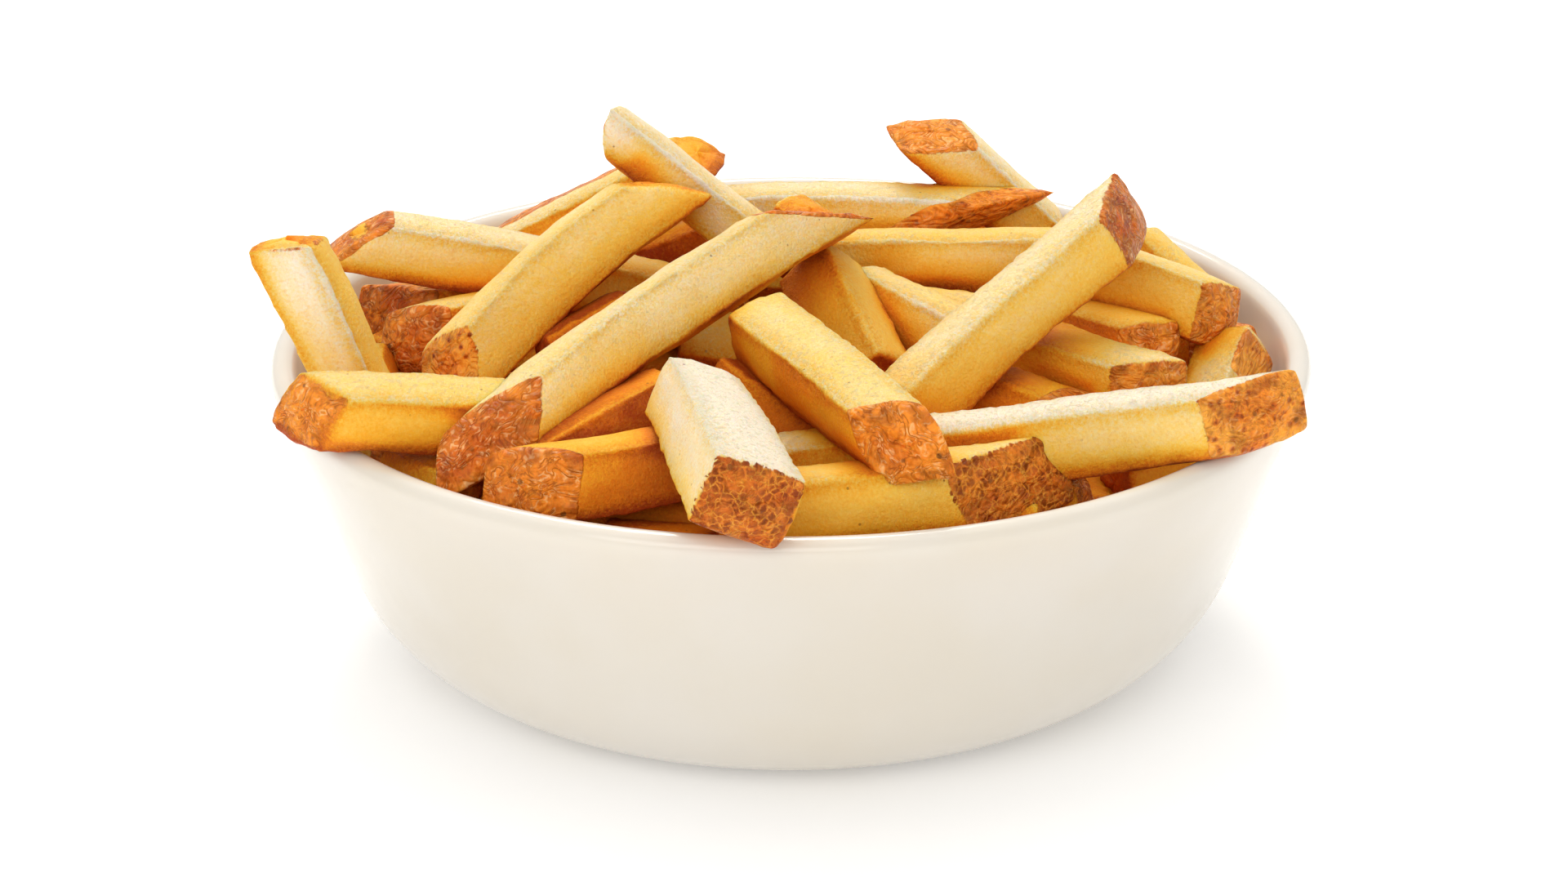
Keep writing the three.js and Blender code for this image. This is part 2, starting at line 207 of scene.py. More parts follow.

# How each fry that shows is finished; what a row leaves out is in PLAIN_LOOK.
# start, end: how far the potato's skin runs past that end's cut, in millimetres, where the end is skinned.
#   A negative one leaves only scraps of it.
# start_rim: skin as a rim round the start's cut alone, wider as the value grows.
# face: skin along one long face, as (face, from, to) in shares of the length. face_from: skin on only the
#   part of it that lies further to the left than this share of half the width.
# tone: from about -1.3, pale, to 1.7, steeped in oil; the deep tones of the fries that lie in the gaps are
# painted shade.
# up_tone and down_tone: what those faces add.
# dry: the share of the painted light that makes what looks up paler, where 1 is usual.
# cells: how cracked the skin is. char: how dark it is. freckle: how spotted it is. Mostly from 0 to 1.
LOOKS = {
    "long_front": dict(
        start=1.2, end=1.8, tone=-0.5, cells=0.15, char=0.55, freckle=0.3, top_light_share=-0.2, down_tone=0.3
    ),
    "left_upper": dict(start=0.7, end=-0.6, tone=-0.1, cells=0.45, char=0.15, freckle=1.0, top_light_share=0.1),
    "left_rim": dict(start=0.1, tone=0.35, cells=0.0, char=0.15, top_light_share=1.2),
    "left_leaning": dict(start_rim=-0.25, tone=-1.1, char=0.1, top_light_share=0.0, up_tone=1.3),
    "left_back": dict(start_rim=0.95, tone=-0.55, char=0.5, freckle=0.3, top_light_share=0.7, up_tone=0.35),
    "left_skinned": dict(start=3.5, tone=0.4, char=0.5, freckle=0.5),
    "left_short": dict(start=1.2, tone=0.1, char=0.5, freckle=0.3),
    "back_rising": dict(face=("up", 0.0, 1.0), face_from=0.1, tone=0.1, char=0.5),
    "top_steep": dict(start=0.1, tone=-1.3, char=0.4, top_light_share=0.1, up_tone=0.8),
    "front_overhang": dict(end=0.6, tone=-0.35, cells=1.0, char=0.6, top_light_share=1.8),
    "centre_diagonal": dict(end=1.6, tone=0.15, char=0.15, freckle=0.25, up_tone=0.1),
    "right_diagonal": dict(end=0.8, tone=0.2, cells=0.35, char=1.0, freckle=0.3, top_light_share=1.9),
    "right_long": dict(end=1.2, tone=-0.35, cells=0.5, freckle=0.9, top_light_share=1.5),
    "front_rim": dict(end=0.9, tone=0.3, cells=1.0, char=0.5),
    "front_left": dict(start=1.2, tone=1.1, cells=0.15, char=0.35),
    "front_left_under": dict(start=3.0, tone=0.7, char=0.4),
    "under_long": dict(tone=1.3),
    "between_diagonals": dict(tone=1.7),
    "behind_diagonals": dict(tone=1.3),
    "centre_upright": dict(tone=0.55),
    "centre_right": dict(tone=-0.6, top_light_share=0.2, up_tone=0.5),
    "back_low": dict(tone=-0.55, top_light_share=0.2, up_tone=0.6),
    "back_long": dict(end=7.0, tone=-1.25, cells=0.3, char=-0.3, freckle=0.8, top_light_share=0.0, up_tone=0.7),
    "back_small_tip": dict(tone=0.4),
    "back_tip": dict(start=0.6, tone=-0.85, char=0.0, freckle=0.3, top_light_share=0.5, up_tone=0.5),
    "right_upper": dict(end=0.5, tone=-0.05, cells=0.3, freckle=0.5, up_tone=0.4),
    "right_far_tip": dict(tone=0.5),
    "right_middle": dict(end=0.4, tone=-0.5, cells=0.3, char=0.5, freckle=0.6, top_light_share=0.6, up_tone=0.4),
    "right_inner": dict(end=0.5, tone=0.35, freckle=0.4),
    "right_under": dict(end=3.0, tone=0.8, cells=0.3, char=0.5, freckle=0.6),
    "right_upright": dict(end=0.8, face=("right", 0.35, 1.0), tone=-0.1, cells=0.2, char=0.2, freckle=0.7),
    "right_wall": dict(end=4.0, tone=0.4),
    "front_right_low": dict(end=1.0, tone=0.8, char=0.6),
    "front_right_wall": dict(end=1.0, tone=0.6, char=0.5),
    "front_left_low": dict(tone=1.5),
    "centre_shaded": dict(tone=1.4),
    "centre_back": dict(tone=0.3),
}

PLAIN_LOOK = dict(cells=0.1, char=0.3, freckle=0.2, top_light_share=1.0)

# The fries in the gaps get a look by the draw, between these; their deeper tones are painted shade.
HIDDEN_LOOK = dict(tone=(0.2, 0.7), cells=(0, 0.6), char=(0.2, 0.6))
HIDDEN_SKIN = (0.4, 1.6)
HIDDEN_SKINNED = 0.35  # the share of their ends that are skinned

# ---- how a fry is shaped, in millimetres ----

PLUMP = 0.4  # what the real fries stand proud of the CAD's plain ones, so that rounding takes nothing off
FRY_EDGE = 0.85  # radius of a fry's long edges
CUT_EDGE = 0.7  # radius round a plain cut end
SKIN_EDGE = 1.0  # radius round a skinned end
CUT_BULGE = 0.35  # how far a plain cut end stands out in its middle
SKIN_BULGE = 0.8
CAP_RINGS = 7
CAP_HOLE = 0.6  # how much of a ring's step is left open for the pole
ROUNDING_RINGS = 4
LEAST_STEPS = 8
SMOOTHING = 2
FINE = dict(flat_steps=11, corner_steps=5, spacing=0.75)
COARSE = dict(flat_steps=7, corner_steps=3, spacing=1.3)

# Noise is given in layers of (height, wavelength, offset).
MOST_SHIFT = 60  # how far apart the noise of two fries may be taken
MOST_TWIST = 3  # degrees
WIDTH_NOISE = ((0.06, 17, 0),)
HEIGHT_NOISE = ((0.06, 15, 9),)
SIDEWAYS_NOISE = ((0.45, 23, 5),)
UPWARD_NOISE = ((0.45, 21, 13),)
RELIEF = ((0.36, 14, 0), (0.15, 5.5, 7), (0.06, 2.2, 11))
CRUMB_RELIEF = ((0.20, 1.0, 17),)
CREASES = ((1, 3.4, 19),)
CREASE_HEIGHT = 0.34
CREASE_STRETCH = (1, 0.6, 1)
PUCKERS = ((0.10, 1.6, 23),)

SWELL_LEAST, SWELL_MOST = 0.15, 0.95  # how far a fried face stands out between its edges
SWELL_MEAN = 0.8
SWELL_NOISE = ((0.6, 11, 3),)
SKIN_SWELL_LOSS = 0.4  # the part of the swelling that skin holds back
EDGE_LOSS = 0.15  # how far the edges are worn down
EDGE_LOSS_NOISE = ((1, 7, 27),)

# ---- what a point of a fry says about its finish ----

LONG_EDGE_REACH = 1.1  # how far from a long edge its crust reaches, in millimetres
CUT_EDGE_REACH = 0.9
CAP_MIDDLE = 0.6  # the scale of the section below which a cap is plain
SKIN_BLEND = 0.6  # the millimetres over which skin takes over from flesh in the shape

LOW_SIDE_SHADE = 0.6  # painted shade: how much deeper in tone a fry's lowest edge is than its middle
HIGH_SIDE_MOST = 0.6  # above this share of half its height it gets no paler
LOWEST_SHADE = 1.6  # painted shade: how much deeper again the last millimetres above its lowest edge are
LOWEST_FROM = 0.25
LOWEST_POWER = 1.5
PAINTED_TOP_LIGHT = 0.42  # painted light: how much paler a face that looks up is than one that stands upright
CROWD_SHADE = 2.4  # painted shade: how much deeper a fry is where others lie close against it
CROWD_SHADE_MOST = 2.1
CROWD_REACHES = ((2.0, 0.40), (5.0, 0.35), (11.0, 0.25))  # distance from the surface and weight
CROWD_MARGIN = 8
BORDER = 0.15  # how much deeper a face is along its edges than in its middle
BORDER_WIDTH = 2.2
CUT_TONE = 1.1  # how much deeper a cut end is than the long faces
CUT_TONE_FROM, CUT_TONE_BLEND = 0.99, 0.1  # the scale of the section where that starts, and its run

SKIN_DEPTH_MOST = 3.0  # a point's depth in the skin is kept between this and as much outside it
SKIN_WOBBLE = ((0.40, 3.2, 29), (0.18, 1.3, 31))  # the ragged border of the skin
END_WOBBLE, END_WOBBLE_GROWTH = 0.6, 0.3
RIM_PLACE, RIM_FALL, RIM_WOBBLE = 0.3, 1.2, 1.6
FACE_BORDER = 0.86  # the share of half the width from which a point lies on a skinned long face
FACE_FALL = 4
FACE_ENDS_FALL = 30

FACES = {"down": (2, -1), "right": (0, 1), "up": (2, 1), "left": (0, -1)}  # local axis and side, once round

FRY_SEED = 41
CORE_SEED = 7
NOISE_SEED = 3
NOISE_CELLS = 32

lattice = np.random.default_rng(NOISE_SEED).random((NOISE_CELLS,) * 3) * 2 - 1


# ---- shapes ----


def noise(points, wavelength, offset=0.0):
    """Smooth noise from -1 to 1 at points given in millimetres."""
    spot = np.asarray(points) / wavelength + offset
    cell = np.floor(spot).astype(int)
    part = spot - cell
    part = part * part * (3 - 2 * part)
    total = 0
    for corner in range(8):
        step = np.array([corner & 1, corner >> 1 & 1, corner >> 2 & 1])
        weight = np.prod(np.where(step, part, 1 - part), axis=-1)
        index = (cell + step) % len(lattice)
        total = total + weight * lattice[index[..., 0], index[..., 1], index[..., 2]]
    return total


def layered(points, layers):
    """The sum of layers of noise, each given as its height, wavelength and offset."""
    return sum(height * noise(points, wavelength, offset) for height, wavelength, offset in layers)


def section(flat_steps, corner_steps):
    """Once round a round-cornered square: the points' places on the flats, and the corners' directions."""
    flats = [(complex(2 * i / flat_steps - 1, -1), -1j) for i in range(flat_steps)]
    angles = [i / corner_steps * math.pi / 2 for i in range(corner_steps)]
    corner = [(1 - 1j, complex(math.sin(angle), -math.cos(angle))) for angle in angles]
    side = np.array(flats + corner)
    flat, direction = np.concatenate([side * turn for turn in (1, 1j, -1, -1j)]).T
    return flat.real, flat.imag, direction.real, direction.imag


def grid_normals(grid):
    """Outward normals of a closed tube of rings."""
    along = np.gradient(grid, axis=0)
    around = (np.roll(grid, -1, 1) - np.roll(grid, 1, 1)) / 2
    normal = np.cross(along, around)
    return normal / np.maximum(np.linalg.norm(normal, axis=2, keepdims=True), 1e-9)


def smoothed(grid, rounds):
    """Evens out a tube of rings, which rounds its edges."""
    for _ in range(rounds):
        before = np.concatenate([grid[:1].mean(1, keepdims=True).repeat(grid.shape[1], 1), grid[:-1]])
        after = np.concatenate([grid[1:], grid[-1:].mean(1, keepdims=True).repeat(grid.shape[1], 1)])
        mean = (before + after + np.roll(grid, 1, 1) + np.roll(grid, -1, 1)) / 4
        grid = (grid + mean) / 2
    return grid


def tube_faces(rings, around, base):
    """Quads of a tube of rings and the two fans that close it; its poles follow the rings' points."""
    point = base + np.arange(rings * around).reshape(rings, around)
    after = np.roll(point, -1, 1)
    quads = np.stack([point[:-1], point[1:], after[1:], after[:-1]], -1).reshape(-1, 4)
    pole = np.full(around, base + rings * around)
    start_fan = np.stack([pole, point[0], after[0]], -1)
    end_fan = np.stack([pole + 1, after[-1], point[-1]], -1)
    return quads, np.concatenate([start_fan, end_fan])


class Merger:
    """Gathers many tubes into one mesh with their values at each point."""

    def __init__(self):
        self.points, self.quads, self.fans = [], [], []
        self.values = {}
        self.count = 0

    def add_tube(self, grid, values):
        """Adds a tube of rings and the poles that close its ends; a value may be one for the whole tube."""
        rings, around = grid.shape[:2]
        poles = np.stack([grid[0].mean(0), grid[-1].mean(0)])
        self.points.append(np.concatenate([grid.reshape(-1, 3), poles]))
        for name, value in values.items():
            if np.ndim(value) == 0:
                value = np.full((rings, around), value)
            flat = value.reshape(rings * around, -1)
            pole_values = np.stack([flat[:around].mean(0), flat[-around:].mean(0)])
            self.values.setdefault(name, []).append(np.concatenate([flat, pole_values]))
        quads, fans = tube_faces(rings, around, self.count)
        self.quads.append(quads)
        self.fans.append(fans)
        self.count += rings * around + len(poles)

    def build(self, name):
        """The mesh object, with each value as an attribute of its points."""
        faces = np.concatenate(self.quads).tolist() + np.concatenate(self.fans).tolist()
        piece = mesh_object(name, np.concatenate(self.points), faces)
        for key, value in self.values.items():
            value = np.concatenate(value)
            kind = "FLOAT" if value.shape[1] == 1 else "FLOAT_VECTOR"
            field = "value" if kind == "FLOAT" else "vector"
            attribute = piece.data.attributes.new(key, kind, "POINT")
            attribute.data.foreach_set(field, value.astype(np.float32).ravel())
        return piece


def mesh_object(name, points, faces):
    """A smooth-shaded object from points in millimetres."""
    mesh = bpy.data.meshes.new(name)
    mesh.from_pydata((np.asarray(points) * MM).tolist(), [], faces)
    mesh.polygons.foreach_set("use_smooth", [True] * len(mesh.polygons))
    mesh.validate()
    mesh.update()
    piece = bpy.data.objects.new(name, mesh)
    bpy.context.scene.collection.objects.link(piece)
    return piece


def finish_piece(piece, material, node):
    """Gives a piece its material, hangs it under the root body, and hides the CAD node that it stands for."""
    piece.data.materials.append(material)
    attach(piece, "root")
    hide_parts(node)
    return piece


# ---- fries ----


def end_rings(edge, bulge, half):
    """Section scale and outward stand of the rings that close an end, from the side faces to the middle."""
    rings = []
    for i in range(1, ROUNDING_RINGS + 1):
        angle = i / ROUNDING_RINGS * math.pi / 2
        rings.append((1 - edge * (1 - math.cos(angle)) / half, -edge * (1 - math.sin(angle))))
    flat = rings[-1][0]
    for i in range(1, CAP_RINGS + 1):
        scale = flat * (1 - i / (CAP_RINGS + CAP_HOLE))
        rings.append((scale, bulge * (1 - (scale / flat) ** 2)))
    return rings


def fry_axes(row):
    """Start, length and the three directions of a fry: across, along and up."""
    start = np.array(row.start, float)
    along = np.array(row.end, float) - start
    length = np.linalg.norm(along)
    along = along / length
    level = np.cross(along, (0, 0, 1))
    level = level / np.linalg.norm(level)
    raised = np.cross(level, along)
    angle = math.radians(row.roll)
    across = level * math.cos(angle) - raised * math.sin(angle)
    up = raised * math.cos(angle) + level * math.sin(angle)
    return start, length, across, along, up


def crown_height(radius):
    """How high the core's plain dome stands at a distance from the bowl's axis."""
    return CORE_EDGE_HEIGHT + CORE_CROWN * (1 - (radius / CORE_RADIUS) ** 2)


def crowding(points, normals, name):
    """How closely the other fries and the core stand round each point, from 0 in the open to 1."""
    total = np.zeros(points.shape[:2])
    middle = points.reshape(-1, 3).mean(0)
    size = np.abs(points.reshape(-1, 3) - middle).max(0)
    for reach, weight in CROWD_REACHES:
        spot = points + normals * reach
        nearest = spot[..., 2] - crown_height(np.hypot(spot[..., 0], spot[..., 1]))
        for row in ALL_FRIES:
            start, length, across, along, up = fry_axes(row)
            far = np.abs(start + along * length / 2 - middle) - size - np.abs(along) * length / 2
            if row.name == name or far.max() > reach + CROWD_MARGIN:
                continue
            place = spot - start
            past = np.abs(place @ along - length / 2) - length / 2
            beside = np.abs(place @ across) - row.size[0] / 2
            above = np.abs(place @ up) - row.size[1] / 2
            gaps = np.stack([beside, past, above])
            outside = np.sqrt((np.maximum(gaps, 0) ** 2).sum(0))
            nearest = np.minimum(nearest, outside + np.minimum(gaps.max(0), 0))
        total += weight * np.clip((reach - nearest) / reach, 0, 1)
    return total


class Fry:
    """One fry as a tube of rings in millimetres, with what its finish needs at each point.

    Local places are across, along and up from the start of the fry's middle line.
    """

    def __init__(self, row, look, rng, flat_steps, corner_steps, spacing):
        self.row = row
        self.look = {**PLAIN_LOOK, **look}
        self.start, self.length, self.across, self.along, self.up = fry_axes(row)
        self.width, self.height = (side + 2 * PLUMP for side in row.size)
        self.lay_section(flat_steps, corner_steps)
        self.lay_rings(spacing)
        self.shape_stick(rng)
        self.mark_edges()
        self.mark_skin()
        self.raise_relief(rng)
        sideways = self.local[..., :1] * self.across
        self.grid = self.start + sideways + self.local[..., 1:2] * self.along + self.local[..., 2:] * self.up

    def lay_section(self, flat_steps, corner_steps):
        """The outline once round, and where each of its points lies on its face."""
        flat_x, flat_y, corner_x, corner_y = section(flat_steps, corner_steps)
        half_x, half_y = self.width / 2 - FRY_EDGE, self.height / 2 - FRY_EDGE
        self.outline_x = flat_x * half_x + corner_x * FRY_EDGE
        self.outline_y = flat_y * half_y + corner_y * FRY_EDGE
        self.off_middle = np.where(np.abs(flat_y) > np.abs(flat_x), flat_x, flat_y)
        self.from_edge = (1 - np.abs(self.off_middle)) * min(half_x, half_y)
        self.face_number = np.arange(len(flat_x)) * len(FACES) // len(flat_x)

    def lay_rings(self, spacing):
        """The rings' share of the length, scale of the section, outward stand, and end: -1, 0 or 1."""
        half = min(self.width, self.height) / 2
        skinned = ("start" in self.look, "end" in self.look)
        self.edges = [SKIN_EDGE if skin else CUT_EDGE for skin in skinned]
        bulges = [SKIN_BULGE if skin else CUT_BULGE for skin in skinned]
        opening = [(0.0, scale, stand, -1) for scale, stand in end_rings(self.edges[0], bulges[0], half)]
        closing = [(1.0, scale, stand, 1) for scale, stand in end_rings(self.edges[1], bulges[1], half)]
        steps = max(LEAST_STEPS, round(self.length / spacing))
        body = [(i / steps, 1.0, 0.0, 0) for i in range(steps + 1)]
        rings = np.array(opening[::-1] + body + closing).T[:, :, None]
        self.share, self.scale, self.stand, self.which_end = rings

    def shape_stick(self, rng):
        """The uneven, slightly twisted and bent stick between its two slanted cuts."""
        row = self.row
        swell = 1 + row.taper * (self.share - 0.5)
        side = self.outline_x * self.scale * swell
        rise = self.outline_y * self.scale * swell
        self.first = row.start_cut[0] * side + row.start_cut[1] * rise - PLUMP
        self.last = self.length + row.end_cut[0] * side + row.end_cut[1] * rise + PLUMP
        inner_first, inner_last = self.first + self.edges[0], self.last - self.edges[1]
        reach = inner_first + (inner_last - inner_first) * self.share
        reach = np.where(self.which_end > 0, self.last + self.stand, reach)
        self.reach = np.where(self.which_end < 0, self.first - self.stand, reach)

        shift = rng.random(3) * MOST_SHIFT
        path = np.stack([self.share * self.length, self.share * 0, self.share * 0], -1) + shift
        twist = np.radians(rng.uniform(-MOST_TWIST, MOST_TWIST)) * (self.share - 0.5)
        turned_side = side * np.cos(twist) - rise * np.sin(twist)
        turned_rise = side * np.sin(twist) + rise * np.cos(twist)
        side = turned_side * (1 + layered(path, WIDTH_NOISE)) + layered(path, SIDEWAYS_NOISE)
        rise = turned_rise * (1 + layered(path, HEIGHT_NOISE)) + layered(path, UPWARD_NOISE)
        lift = row.bend * 4 * self.share * (1 - self.share)
        grid = np.stack(np.broadcast_arrays(side, self.reach, rise + lift), -1)
        self.local = smoothed(grid, SMOOTHING)
        self.normal = grid_normals(self.local)
        self.grain = self.local + shift

    def mark_edges(self):
        """How near each point is to a long edge or to a cut's edge."""
        outside_cap = self.scale > CAP_MIDDLE
        edge = np.exp(-((self.from_edge / LONG_EDGE_REACH) ** 2)) * outside_cap
        near_end = np.minimum(np.abs(self.reach - self.first), np.abs(self.last - self.reach))
        self.edge = np.maximum(edge, np.exp(-((near_end / CUT_EDGE_REACH) ** 2)) * outside_cap)
        self.border = np.exp(-((self.from_edge / BORDER_WIDTH) ** 2)) * outside_cap

    def mark_skin(self):
        """How far inside the skin each point lies, in millimetres, negative on the cut flesh."""
        look = self.look
        from_start, from_end = self.reach - self.first, self.last - self.reach
        depth = np.full(self.grain.shape[:2], -SKIN_DEPTH_MOST)
        wobble = layered(self.grain, SKIN_WOBBLE)
        for end, gap in (("start", from_start), ("end", from_end)):
            if end in look:
                ragged = wobble * (END_WOBBLE + END_WOBBLE_GROWTH * look[end])
                depth = np.maximum(depth, look[end] - gap + ragged)
        if "start_rim" in look:
            rim = look["start_rim"] - RIM_FALL * np.abs(from_start - RIM_PLACE) + RIM_WOBBLE * wobble
            depth = np.maximum(depth, rim)
        if "face" in look:
            depth = np.maximum(depth, self.face_skin(wobble))
        self.skin = np.clip(depth, -SKIN_DEPTH_MOST, SKIN_DEPTH_MOST)

    def face_skin(self, wobble):
        """The depth in the skin of one long face."""
        name, low, high = self.look["face"]
        axis, side = FACES[name]
        halves = (self.width / 2, None, self.height / 2)
        on_face = (side * self.local[..., axis] / halves[axis] - FACE_BORDER) * FACE_FALL + wobble
        if "face_from" in self.look:
            leftward = -self.local[..., 0] / halves[0]
            strip = (leftward - self.look["face_from"]) * FACE_FALL + wobble
            on_face = np.minimum(on_face, strip)
        inside = np.minimum(self.share - low, high - self.share) * FACE_ENDS_FALL
        return np.minimum(on_face, inside + wobble)

    def raise_relief(self, rng):
        """Swells the faces between the edges, and adds grain on the flesh and wrinkles on the skin."""
        skin_part = np.clip(self.skin / SKIN_BLEND + 0.5, 0, 1)
        faces = rng.uniform(SWELL_LEAST, SWELL_MOST, len(FACES))[self.face_number]
        faces = faces * (1 - self.off_middle * self.off_middle)
        swollen = faces * (SWELL_MEAN + layered(self.grain, SWELL_NOISE)) * (1 - SKIN_SWELL_LOSS * skin_part)
        swollen = swollen - EDGE_LOSS * self.edge * (1 + layered(self.grain, EDGE_LOSS_NOISE))
        crumb = layered(self.grain, CRUMB_RELIEF) * self.edge * (1 - skin_part)
        crease = (0.5 - np.abs(layered(self.grain * CREASE_STRETCH, CREASES))) * CREASE_HEIGHT
        wrinkle = crease + layered(self.grain, PUCKERS)
        stand = layered(self.grain, RELIEF) + swollen + crumb + wrinkle * skin_part
        self.local = self.local + self.normal * stand[..., None]

    def tone(self, normals):
        """Deeper in colour on the cuts, with painted shade low down and against other fries, and painted
        light where a face looks up.
        """
        look = self.look
        lean = self.local[..., 0] * self.across[2] + self.local[..., 2] * self.up[2]
        height = lean / (abs(self.across[2]) * self.width + abs(self.up[2]) * self.height) * 2
        lowest_shade = np.clip(-height - LOWEST_FROM, 0, 1) ** LOWEST_POWER
        crowd_shade = np.minimum(CROWD_SHADE * crowding(self.grid, normals, self.row.name), CROWD_SHADE_MOST)
        cut_part = np.clip((CUT_TONE_FROM - self.scale) / CUT_TONE_BLEND, 0, 1)
        cut = np.where(self.which_end == 0, 0, CUT_TONE) * cut_part
        own = np.array([look.get(face + "_tone", 0.0) for face in FACES])[self.face_number]
        tone = look["tone"] + own + cut - LOW_SIDE_SHADE * np.minimum(height, HIGH_SIDE_MOST) + LOWEST_SHADE * lowest_shade
        return tone - PAINTED_TOP_LIGHT * look["top_light_share"] * normals[..., 2] + BORDER * self.border + crowd_shade

    def values(self):
        """What the material reads at each point."""
        normals = self.normal @ np.stack([self.across, self.along, self.up])
        even = {name: self.look[name] for name in ("cells", "char", "freckle")}
        tone, facing = self.tone(normals), normals[..., 2]
        return dict(grain=self.grain, skin=self.skin, edge=self.edge, facing=facing, tone=tone, **even)


def hidden_look(rng):
    """A fry that only shows in the gaps: skinned or not by the draw, and deeper in colour as painted shade.
    """
    look = {name: rng.uniform(*limits) for name, limits in HIDDEN_LOOK.items()}
    for end in ("start", "end"):
        if rng.random() < HIDDEN_SKINNED:
            look[end] = rng.uniform(*HIDDEN_SKIN)
    return look


def fry_pieces(material):
    """The fries, a few joined meshes of them, standing for the CAD's heap."""
    rng = np.random.default_rng(FRY_SEED)
    for name, rows in PIECES.items():
        merger = Merger()
        for row in rows:
            look = LOOKS.get(row.name) or hidden_look(rng)
            detail = FINE if row.name in LOOKS else COARSE
            fry = Fry(row, look, rng, **detail)
            merger.add_tube(fry.grid, fry.values())
        finish_piece(merger.build(name), material, "fries")


# ---- bowl and core ----


def arc(cx, cy, radius, start, stop, steps):
    angles = np.linspace(start, stop, steps + 1)
    return [(cx + radius * math.cos(a), cy + radius * math.sin(a)) for a in angles]


def wall_outline(inset, steps):
    """The wall from the base's middle up to the top of the straight flare, moved in by inset."""
    top_x, top_y = RIM_RADIUS - LIP_STEP, BOWL_HEIGHT - LIP_RADIUS - LIP_DROP
    flare = math.hypot(1, WALL_FLARE)
    base_radius = top_x - WALL_FLARE * (top_y - BASE_FILLET) - BASE_FILLET * flare
    radius, stop = BASE_FILLET - inset, -math.atan(WALL_FLARE)
    fillet = arc(base_radius, BASE_FILLET, radius, -math.pi / 2, stop, steps)
    return fillet + [(top_x - inset * flare, top_y)]


def rounded_outline(points, spacing, rounds):
    """The outline at even steps, its small corners eased."""
    points = np.array(points)
    run = np.concatenate([[0], np.cumsum(np.linalg.norm(np.diff(points, axis=0), axis=1))])
    steps = np.linspace(0, run[-1], max(2, round(run[-1] / spacing)) + 1)
    eased = np.stack([np.interp(steps, run, points[:, i]) for i in (0, 1)], 1)
    for _ in range(rounds):
        eased[1:-1] = (eased[:-2] + 2 * eased[1:-1] + eased[2:]) / 4
    return eased


def turned(radius, height, sides):
    """A ring of points for each radius and height."""
    angles = np.arange(sides) / sides * 2 * math.pi
    return np.stack([radius * np.cos(angles), radius * np.sin(angles), height + 0 * angles], -1)


def bowl_piece(material):
    """The glazed bowl, from the outside of its base over the lip to the inside."""
    lip = arc(RIM_RADIUS - LIP_RADIUS, BOWL_HEIGHT - LIP_RADIUS, LIP_RADIUS, 0, math.pi, LIP_STEPS)
    outline = wall_outline(0, FILLET_STEPS) + lip + wall_outline(WALL, FILLET_STEPS)[::-1]
    outline = rounded_outline(outline, BOWL_SPACING, OUTLINE_EASING)
    grid = turned(outline[:, :1], outline[:, 1:], BOWL_SIDES)[::-1]
    merger = Merger()
    merger.add_tube(grid, dict(grain=grid))
    finish_piece(merger.build("bowl_shell"), material, "bowl")


def core_height(x, y, rng):
    """The core's top: a dome with ridges like fries that lie deeper in the heap."""
    ridges = np.zeros_like(x)
    for _ in range(CORE_RIDGES):
        reach = CORE_RADIUS * math.sqrt(rng.random()) * RIDGE_SPREAD
        bearing, heading = rng.random(2) * 2 * math.pi
        dx, dy = x - reach * math.cos(bearing), y - reach * math.sin(bearing)
        along = np.abs(dx * math.cos(heading) + dy * math.sin(heading))
        across = np.abs(dy * math.cos(heading) - dx * math.sin(heading))
        width, length = rng.uniform(*RIDGE_WIDTHS), rng.uniform(*RIDGE_LENGTHS)
        body = np.clip((width - across) / RIDGE_SIDE, 0, 1) * np.clip((length - along) / RIDGE_SIDE, 0, 1)
        ridges = np.maximum(ridges, body * (rng.uniform(*RIDGE_RISES) + RIDGE_TILT * along))
    return crown_height(np.hypot(x, y)) + ridges - CORE_SINK


def core_piece(material):
    """The core: inside the bowl's wall all round, ridged on top."""
    edge_height = CORE_EDGE_HEIGHT - CORE_SINK
    outline = wall_outline(CORE_INSET, CORE_FILLET_STEPS)
    wall = np.array([point for point in outline if point[1] < edge_height])
    edge_radius = wall[-1][0] + WALL_FLARE * (edge_height - wall[-1][1])
    radii = np.linspace(1, CORE_MIDDLE, CORE_RINGS)[:, None] * edge_radius
    top = turned(radii, 0 * radii, CORE_SIDES)
    top[..., 2] = core_height(top[..., 0], top[..., 1], np.random.default_rng(CORE_SEED))
    grid = np.concatenate([turned(wall[:, :1], wall[:, 1:], CORE_SIDES), top])[::-1]
    grain = grid + CORE_GRAIN_SHIFT
    grid = grid + layered(grain, CORE_RELIEF)[..., None] * (0, 0, 1)
    skin = layered(grain, CORE_SKIN_PATCH) - CORE_SKIN_LESS
    skin = np.clip(skin, -SKIN_DEPTH_MOST, SKIN_DEPTH_MOST)
    merger = Merger()
    merger.add_tube(grid, dict(grain=grain, skin=skin, **CORE_LOOK))
    finish_piece(merger.build("fries_core"), material, "fries")


# ---- materials ----

MIX_FACTOR, MIX_A, MIX_B, MIX_RESULT = 0, 6, 7, 2  # the colour sockets of a Mix node


